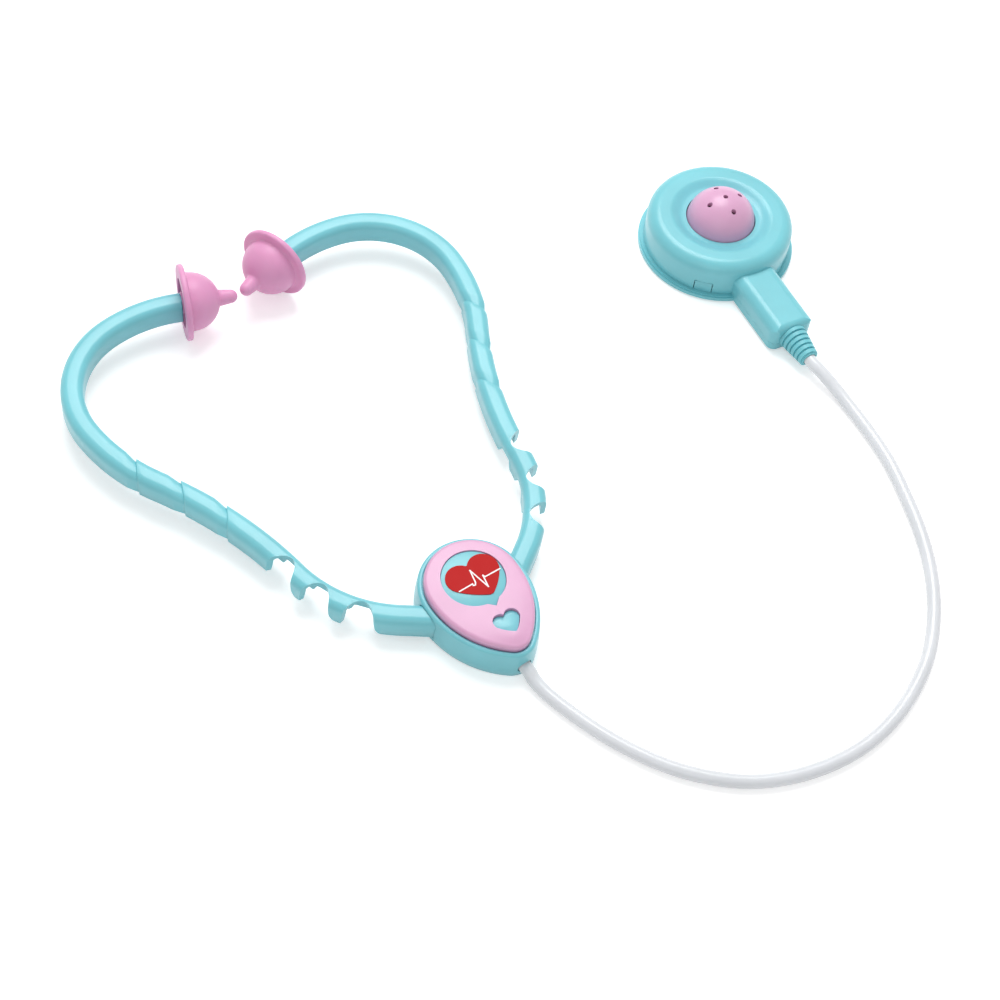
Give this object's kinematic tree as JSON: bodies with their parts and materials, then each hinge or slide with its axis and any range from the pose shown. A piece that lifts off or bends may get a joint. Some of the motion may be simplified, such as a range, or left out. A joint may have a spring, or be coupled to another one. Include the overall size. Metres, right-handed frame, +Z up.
{
  "type": "toy stethoscope",
  "caption": "Toy stethoscope with a drop-shaped housing, springy turquoise arms, pink ear tips, a bendy tube and a round chest piece with a squeaking dome.",
  "frame": {"origin": "centre of the chest piece's flat underside, where the toy lies on the table", "axes": "+Z up from the table, +Y along the headset from the housing to the ear tips, +X from the headset to the chest piece"},
  "size_m": [0.2423, 0.2414, 0.0236],
  "materials": {
    "turquoise_plastic": "smooth moulded, soft sheen",
    "pink_plastic": "smooth moulded, soft sheen",
    "red_print": "glossy sticker",
    "soft_pink": "soft satin",
    "clear_tube": "milky translucent tube",
    "soft_turquoise": "soft satin",
    "bellows_rubber": "matt",
    "reed_plastic": "matt"
  },
  "bodies": {
    "headset": {"housing_front": "turquoise_plastic", "housing_back": "turquoise_plastic", "face_plate": "pink_plastic", "heart_badge": "red_print", "left_stub": "turquoise_plastic", "right_stub": "turquoise_plastic", "left_web_1": "turquoise_plastic", "right_web_1": "turquoise_plastic", "tube": "clear_tube"},
    "chest_piece": {"chest_top": "turquoise_plastic", "chest_base": "turquoise_plastic", "strain_relief": "soft_turquoise", "squeaker_bellows": "bellows_rubber", "squeaker_reed": "reed_plastic"},
    "dome": {"dome_button": "pink_plastic"},
    "left_rib_1": {"left_rib_1": "turquoise_plastic", "left_web_2": "turquoise_plastic"},
    "left_rib_2": {"left_rib_2": "turquoise_plastic", "left_web_3": "turquoise_plastic"},
    "left_arm": {"left_arm": "turquoise_plastic", "left_ear_tip": "soft_pink"},
    "right_rib_1": {"right_rib_1": "turquoise_plastic", "right_web_2": "turquoise_plastic"},
    "right_rib_2": {"right_rib_2": "turquoise_plastic", "right_web_3": "turquoise_plastic"},
    "right_arm": {"right_arm": "turquoise_plastic", "right_ear_tip": "soft_pink"}
  },
  "joints": [
    {"name": "left_inner_hinge", "type": "hinge", "parent": "headset", "child": "left_rib_1", "pos_m": [-0.17725, -0.06014, 0.00898], "axis": [0, -0.0304, 0.9995], "range_deg": [0, 11], "stiffness_Nm_per_rad": 0.02, "deforming": ["left_web_1"]},
    {"name": "left_middle_hinge", "type": "hinge", "parent": "left_rib_1", "child": "left_rib_2", "pos_m": [-0.18344, -0.04995, 0.00929], "axis": [0, -0.0304, 0.9995], "range_deg": [0, 11], "stiffness_Nm_per_rad": 0.02, "deforming": ["left_web_2"]},
    {"name": "left_outer_hinge", "type": "hinge", "parent": "left_rib_2", "child": "left_arm", "pos_m": [-0.18643, -0.0382, 0.00965], "axis": [0, -0.0304, 0.9995], "range_deg": [0, 11], "stiffness_Nm_per_rad": 0.02, "deforming": ["left_web_3"]},
    {"name": "right_inner_hinge", "type": "hinge", "parent": "headset", "child": "right_rib_1", "pos_m": [-0.12075, -0.06014, 0.00898], "axis": [0, 0.0304, -0.9995], "range_deg": [0, 11], "stiffness_Nm_per_rad": 0.02, "deforming": ["right_web_1"]},
    {"name": "right_middle_hinge", "type": "hinge", "parent": "right_rib_1", "child": "right_rib_2", "pos_m": [-0.11456, -0.04995, 0.00929], "axis": [0, 0.0304, -0.9995], "range_deg": [0, 11], "stiffness_Nm_per_rad": 0.02, "deforming": ["right_web_2"]},
    {"name": "right_outer_hinge", "type": "hinge", "parent": "right_rib_2", "child": "right_arm", "pos_m": [-0.11157, -0.0382, 0.00965], "axis": [0, 0.0304, -0.9995], "range_deg": [0, 11], "stiffness_Nm_per_rad": 0.02, "deforming": ["right_web_3"]},
    {"name": "chest_swing", "type": "hinge", "parent": "headset", "child": "chest_piece", "pos_m": [-0.149, -0.09891, 0.0036], "axis": [0, 0, 1], "range_deg": [-20, 3], "deforming": ["tube"]},
    {"name": "dome_press", "type": "slide", "parent": "chest_piece", "child": "dome", "axis": [0, 0, -1], "range_m": [0, 0.002], "stiffness_N_per_m": 400, "deforming": ["squeaker_bellows"]}
  ],
  "couplings": [
    {"joint": "left_middle_hinge", "follows": "left_inner_hinge", "ratio": 1},
    {"joint": "left_outer_hinge", "follows": "left_inner_hinge", "ratio": 1},
    {"joint": "right_middle_hinge", "follows": "right_inner_hinge", "ratio": 1},
    {"joint": "right_outer_hinge", "follows": "right_inner_hinge", "ratio": 1}
  ]
}
